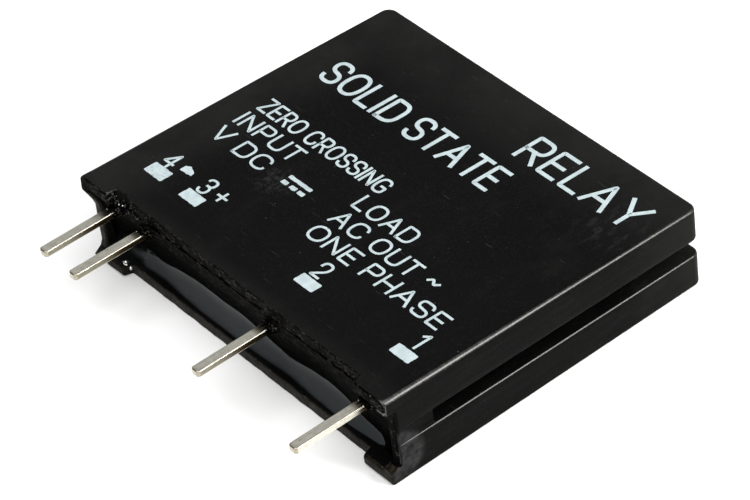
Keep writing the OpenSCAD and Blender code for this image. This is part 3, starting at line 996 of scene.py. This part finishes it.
# Centre lines of the characters in a box one high and one wide. A third number rounds
# the corner there. The first value is the width of the box.
GLYPHS = {
    "A": (0.72, [(0, 0), (0.5, 1), (1, 0)], [(0.2, 0.34), (0.8, 0.34)]),
    "C": (0.68, [(1, 0.7), (1, 1, 0.5), (0, 1, 0.5), (0, 0, 0.5), (1, 0, 0.5), (1, 0.3)]),
    "D": (0.66, [(0, 0), (0, 1), (1, 1, 0.4), (1, 0, 0.4), (0, 0)]),
    "E": (0.54, [(1, 1), (0, 1), (0, 0), (1, 0)], [(0, 0.5), (0.85, 0.5)]),
    "G": (
        0.7, [(1, 0.72), (1, 1, 0.5), (0, 1, 0.5), (0, 0, 0.5), (1, 0, 0.3), (1, 0.45),
              (0.55, 0.45)],
    ),
    "H": (0.62, [(0, 0), (0, 1)], [(1, 0), (1, 1)], [(0, 0.5), (1, 0.5)]),
    "I": (0.02, [(0, 0), (0, 1)]),
    "L": (0.5, [(0, 1), (0, 0), (1, 0)]),
    "N": (0.62, [(0, 0), (0, 1), (1, 0), (1, 1)]),
    "O": (0.72, [(0.5, 1), (0, 1, 0.5), (0, 0, 0.5), (1, 0, 0.5), (1, 1, 0.5), (0.5, 1)]),
    "P": (0.58, [(0, 0), (0, 1), (1, 1, 0.27), (1, 0.45, 0.27), (0, 0.45)]),
    "R": (0.6, [(0, 0), (0, 1), (1, 1, 0.27), (1, 0.45, 0.27), (0, 0.45)], [(0.5, 0.45), (1, 0)]),
    "S": (
        0.6, [(1, 0.74), (1, 1, 0.3), (0, 1, 0.3), (0, 0.54, 0.24), (1, 0.46, 0.24), (1, 0, 0.3),
              (0, 0, 0.3), (0, 0.26)],
    ),
    "T": (0.6, [(0, 1), (1, 1)], [(0.5, 1), (0.5, 0)]),
    "U": (0.62, [(0, 1), (0, 0, 0.33), (1, 0, 0.33), (1, 1)]),
    "V": (0.68, [(0, 1), (0.5, 0), (1, 1)]),
    "Y": (0.68, [(0, 1), (0.5, 0.45), (1, 1)], [(0.5, 0.45), (0.5, 0)]),
    "Z": (0.58, [(0, 1), (1, 1), (0, 0), (1, 0)]),
    "1": (0.26, [(0, 0.78), (1, 1), (1, 0)]),
    "2": (0.54, [(0, 0.7), (0, 1, 0.27), (1, 1, 0.27), (1, 0.55, 0.2), (0, 0), (1, 0)]),
    "3": (
        0.52, [(0, 0.78), (0, 1, 0.25), (1, 1, 0.25), (1, 0.53, 0.22), (0.4, 0.53)],
        [(0.4, 0.53), (1, 0.53, 0.25), (1, 0, 0.27), (0, 0, 0.27), (0, 0.24)],
    ),
    "4": (0.6, [(0.74, 0), (0.74, 1), (0, 0.3), (1, 0.3)]),
    "+": (0.9, [(0, 0.5), (1, 0.5)], [(0.5, 0), (0.5, 1)]),
    "~": (1.0, [(0, 0.1), (0.3, 1.3, 0.5), (0.7, -0.3, 0.5), (1, 0.9)]),
}
GLYPH_GAP = 0.26
WORD_GAP = 0.38
STROKE = 0.15
TITLE_STROKE = 0.24


def rounded_line(points, radius):
    """Line through the points, with each corner cut by a curve."""
    line = [Vector(points[0][:2])]
    for before, here, after in zip(points, points[1:], points[2:]):
        corner = Vector(here[:2])
        back = Vector(before[:2]) - corner
        on = Vector(after[:2]) - corner
        reach = max(here[2], radius)
        free_back = back.length * (1.0 if before is points[0] else 0.5)
        free_on = on.length * (1.0 if after is points[-1] else 0.5)
        start = corner + back.normalized() * min(reach, free_back)
        end = corner + on.normalized() * min(reach, free_on)
        for i in range(9):
            t = i / 8
            line.append((1 - t) ** 2 * start + 2 * t * (1 - t) * corner + t * t * end)
    line.append(Vector(points[-1][:2]))
    return line


def stroke_solid(line, width, level):
    """Flat band of ink along a line: its points and faces."""
    ends = [(line[0] - line[1]).normalized(), (line[-1] - line[-2]).normalized()]
    past = width * 0.42
    line = [line[0] + ends[0] * past] + line[1:-1] + [line[-1] + ends[1] * past]
    points = []
    rows = []
    for i, point in enumerate(line):
        way = (line[min(i + 1, len(line) - 1)] - line[max(i - 1, 0)]).normalized()
        side = Vector((-way.y, way.x)) * width / 2
        side *= 1 + 0.06 * grain(point.x, point.y, 2.2, 0.25)
        left = point + side
        right = point - side
        rows.append(add_row(points, [(*left, level), (*right, level), (*right, -1.0), (*left, -1.0)]))
    return points, strip_faces(rows, closed=True) + [rows[0][::-1], rows[-1]]


def ink_words(name, words, left, base, width, height, stroke, material):
    """Generic words or numbers fitted into a box on the front."""
    places = []
    reach = 0.0
    for letter in words:
        if letter == " ":
            reach += WORD_GAP
            continue
        places.append((letter, reach))
        reach += GLYPH_GAP + GLYPHS[letter][0]
    reach = max(reach - GLYPH_GAP, 0.02)
    across = (width - stroke) / reach
    up = height - stroke
    points = []
    faces = []
    for letter, start in places:
        for number, stretch in enumerate(GLYPHS[letter][1:]):
            marks = []
            for x, y, *corner in stretch:
                place_x = left + stroke / 2 + (start + x * GLYPHS[letter][0]) * across
                place_y = base + stroke / 2 + y * up
                marks.append((place_x, place_y, (corner[0] if corner else 0.0) * up))
            line = rounded_line(marks, stroke * 0.3)
            join(points, faces, stroke_solid(line, stroke, 1.0 - 0.1 * number))
    print_on_front(name, points, faces, material)


def ink_shape(name, outline, material, ragged=0.03):
    """Solid patch of ink whose outline wanders a little."""
    dense = []
    for (ax, ay), (bx, by) in zip(outline, outline[1:] + outline[:1]):
        count = max(2, int(math.hypot(bx - ax, by - ay) / 0.07))
        for i in range(count):
            x = blend(ax, bx, i / count)
            y = blend(ay, by, i / count)
            dense.append((x + ragged * grain(x, y, 4.0, 0.2), y + ragged * grain(x, y, 8.0, 0.2)))
    points = []
    top, base = (add_row(points, [(x, y, level) for x, y in dense]) for level in (1.0, -1.0))
    faces = [top, base[::-1]] + strip_faces([base, top], closed=True)
    print_on_front(name, points, faces, material)


def rounded_box(x, y, width, height, radius=0.08):
    """Outline of a box with rounded corners, from its lower left corner."""
    left, right = x + radius, x + width - radius
    low, high = y + radius, y + height - radius
    points = []
    for cx, cy, start in ((right, low, -90), (right, high, 0), (left, high, 90), (left, low, 180)):
        for turn in (0, 30, 60, 90):
            angle = math.radians(start + turn)
            points.append((cx + radius * math.cos(angle), cy + radius * math.sin(angle)))
    return points


def make_marking(material):
    """Words, numbers, pads and signs on the front: name, words, left, base, width, height."""
    words = (
        ("title_end", "RELAY", 2.25, 6.42, 8.6, 2.12),
        ("title", "SOLID STATE", -10.0, 3.5, 13.6, 1.98),
        ("kind", "ZERO CROSSING", -10.1, -0.42, 10.05, 1.2),
        ("input", "INPUT", -10.1, -1.97, 4.9, 1.2),
        ("input_kind", "V DC", -10.1, -3.55, 4.3, 1.2),
        ("load", "LOAD", -0.4, -1.98, 4.4, 1.2),
        ("load_kind", "AC OUT", -0.35, -3.52, 6.4, 1.2),
        ("phase", "ONE PHASE", -0.35, -5.07, 10.3, 1.2),
        ("4", "4", -10.12, -6.76, 0.82, 1.27),
        ("3", "3", -7.06, -6.78, 0.72, 1.28),
        ("2", "2", 2.21, -6.74, 0.74, 1.26),
        ("1", "1", 9.82, -6.68, 0.44, 1.28),
        ("plus", "+", -5.88, -6.56, 0.8, 0.84),
        ("wave", "~", 6.72, -2.98, 0.86, 0.34),
    )
    for name, text, left, base, width, height in words:
        stroke = TITLE_STROKE if name.startswith("title") else STROKE
        ink_words(name, text, left, base, width, height, stroke, material)
    pad_w = 1.42
    pads = (
        (4, -10.2, -7.62, 0.86), (3, -7.29, -7.6, 0.76), (2, 2.06, -7.58, 0.72),
        (1, 9.42, -7.56, 0.72),
    )
    for number, x, y, height in pads:
        ink_shape(f"pad_{number}", rounded_box(x, y, pad_w, height), material)
    minus = [(-8.84, -6.3), (-8.84, -5.9), (-8.55, -5.75), (-8.05, -6.0), (-8.0, -6.25)]
    ink_shape("minus", minus, material, 0.05)
    ink_shape("dc_bar", rounded_box(-4.4, -2.76, 1.75, 0.24, 0.05), material)
    for number, x in enumerate((-4.4, -3.72, -3.1)):
        ink_shape(f"dc_dash_{number + 1}", rounded_box(x, -3.28, 0.45, 0.28, 0.05), material)


# ---- Carried-over CAD nodes ----


def paint(material, *nodes):
    """Gives CAD nodes their material."""
    for node in nodes:
        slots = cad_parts[node].data.materials
        slots.clear()
        slots.append(material)


def paint_inside(tin, resin):
    resistors = [f"{use}_resistor" for use in ("input", "trigger", "gate", "snubber")]
    bodies, films, caps = ([r + part for r in resistors] for part in ("_body", "_film", "_caps"))
    paint(resin, "potting_resin")
    paint(board_material(), "circuit_board")
    paint(tin, "triac_tab", "triac_leads", "coupler_leads", "snubber_capacitor_caps", *caps)
    copper = plain("copper_plate", (0.6, 0.25, 0.14), (0.8, 0.4, 0.24), 0.7, 0.3, 1.0)
    paint(copper, "copper_tracks", "board_vias")
    silicon = plain("silicon", (0.1, 0.1, 0.13), (0.2, 0.2, 0.24), 0.3, 0.2, 0.6)
    paint(silicon, "triac_die", "coupler_led_die", "coupler_detector_die")
    paint(plain("black_epoxy", (0.01, 0.01, 0.011), (0.025, 0.025, 0.027), 0.6, 0.5), "triac_body")
    paint(plain("bond_wire", (0.6, 0.6, 0.62), (0.8, 0.8, 0.82), 0.2, 0.25, 1.0), "triac_bond_wires")
    paint(plain("white_epoxy", (0.6, 0.6, 0.56), (0.75, 0.75, 0.71), 0.8, 0.45), "coupler_body")
    paint(plain("alumina", (0.72, 0.72, 0.68), (0.84, 0.84, 0.8), 0.4, 0.5), *bodies)
    paint(plain("resistive_film", (0.02, 0.02, 0.03), (0.05, 0.05, 0.07), 0.3, 0.25), *films)
    dielectric = plain("dielectric", (0.36, 0.24, 0.13), (0.48, 0.34, 0.2), 0.5, 0.45)
    paint(dielectric, "snubber_capacitor_body")
    solder = plain("solder", (0.5, 0.51, 0.52), (0.7, 0.71, 0.72), 0.4, 0.28, 1.0, 0.01)
    paint(solder, "solder_joints")


# ---- Stage ----


def make_floor():
    mesh = bpy.data.meshes.new("floor")
    size = 1.2
    gap = 0.01 * MM
    corners = [(-size, -size), (size, -size), (size, size), (-size, size)]
    mesh.from_pydata([(x, y, -gap) for x, y in corners], [], [(0, 1, 2, 3)])
    mesh.materials.append(floor_material())
    add_object("floor", mesh)


def area_light(name, direction, distance, size, power, color=(1.0, 1.0, 1.0)):
    """Soft square light that faces the object."""
    data = bpy.data.lights.new(name, "AREA")
    data.size = size
    data.energy = power
    data.color = color
    light = add_object(name, data)
    way = Vector(direction).normalized()
    light.location = way * distance
    light.rotation_euler = way.to_track_quat("Z", "Y").to_euler()


def make_light():
    world = bpy.data.worlds.new("soft_room")
    world.use_nodes = True
    background = world.node_tree.nodes["Background"]
    background.inputs["Color"].default_value = (0.93, 0.96, 1.0, 1.0)
    background.inputs["Strength"].default_value = 0.06
    bpy.context.scene.world = world
    area_light("key", (0.66, 0.44, 0.61), 0.35, 0.15, 1.5, (1.0, 0.98, 0.95))
    area_light("overhead", (0.15, -0.25, 1.0), 0.45, 0.5, 3.1)
    area_light("left_panel", (-0.63, 0.43, 0.65), 0.5, 0.35, 0.2)


def make_camera():
    """Camera at the viewing angle of the photograph."""
    turn = math.radians(55.51)
    tilt = math.radians(40.477)
    roll = math.radians(-7.666)
    distance = 191.99 * MM
    target = Vector((0.766, -1.609, 2.7)) * MM
    ahead = Vector((
        -math.sin(turn) * math.cos(tilt), math.cos(turn) * math.cos(tilt), -math.sin(tilt),
    ))
    level = ahead.cross(Vector((0, 0, 1))).normalized()
    up = level.cross(ahead)
    right = level * math.cos(roll) + up * math.sin(roll)
    up = right.cross(ahead)
    data = bpy.data.cameras.new("camera")
    data.sensor_width = 36
    data.lens = 183.12
    data.clip_start = 0.01
    camera = add_object("camera", data)
    axes = Matrix((right, up, -ahead)).transposed().to_4x4()
    camera.matrix_world = Matrix.Translation(target - ahead * distance) @ axes
    bpy.context.scene.camera = camera


def main():
    bpy.context.scene.view_settings.view_transform = "Standard"
    tin = tin_material()
    edges = tin_edge_material()
    sides = tin_side_painted_shade_material()
    resin = resin_material()
    make_case()
    make_resin_surface((resin, dull_painted_shade_resin_material()))
    make_crumbs(crumb_material())
    make_specks(bright_solder_material())
    for node in PIN_NODES:
        # The last load pin keeps plain tin on its sides; the darker sides of the others paint the
        # dark reflection of the mouth.
        rounded_pin(node, tin, edges, tin if node == PIN_NODES[-1] else sides)
    make_marking(ink_material())
    paint_inside(tin, resin)
    make_floor()
    make_light()
    make_camera()


main()
